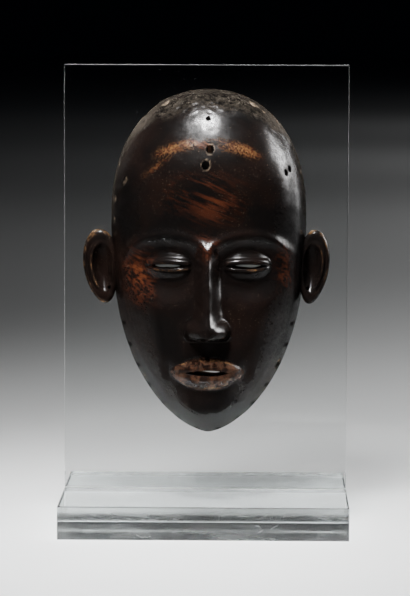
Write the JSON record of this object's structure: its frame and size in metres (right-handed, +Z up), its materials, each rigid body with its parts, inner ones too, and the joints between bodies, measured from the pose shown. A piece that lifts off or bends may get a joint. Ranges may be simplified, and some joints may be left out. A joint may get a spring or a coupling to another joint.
{
  "type": "dan mask on a clear stand",
  "caption": "Carved dark wood face mask, hollow behind, standing in front of a clear acrylic sheet set in a clear acrylic block.",
  "frame": {"origin": "centre of the block's underside, on the surface it stands on", "axes": "+Z up, -Y the way the mask faces, +X to the right seen from the front"},
  "size_m": [0.2, 0.16, 0.323],
  "materials": {
    "mask_wood": "near-black brown wood, oiled and polished by handling, worn to red and orange brown on high places",
    "panel_acrylic": "clear polished acrylic sheet, a little dusty",
    "base_acrylic": "clear polished acrylic block with fine scratches"
  },
  "bodies": {
    "root": {"mask": "mask_wood", "back_panel": "panel_acrylic", "base": "base_acrylic"}
  },
  "joints": []
}
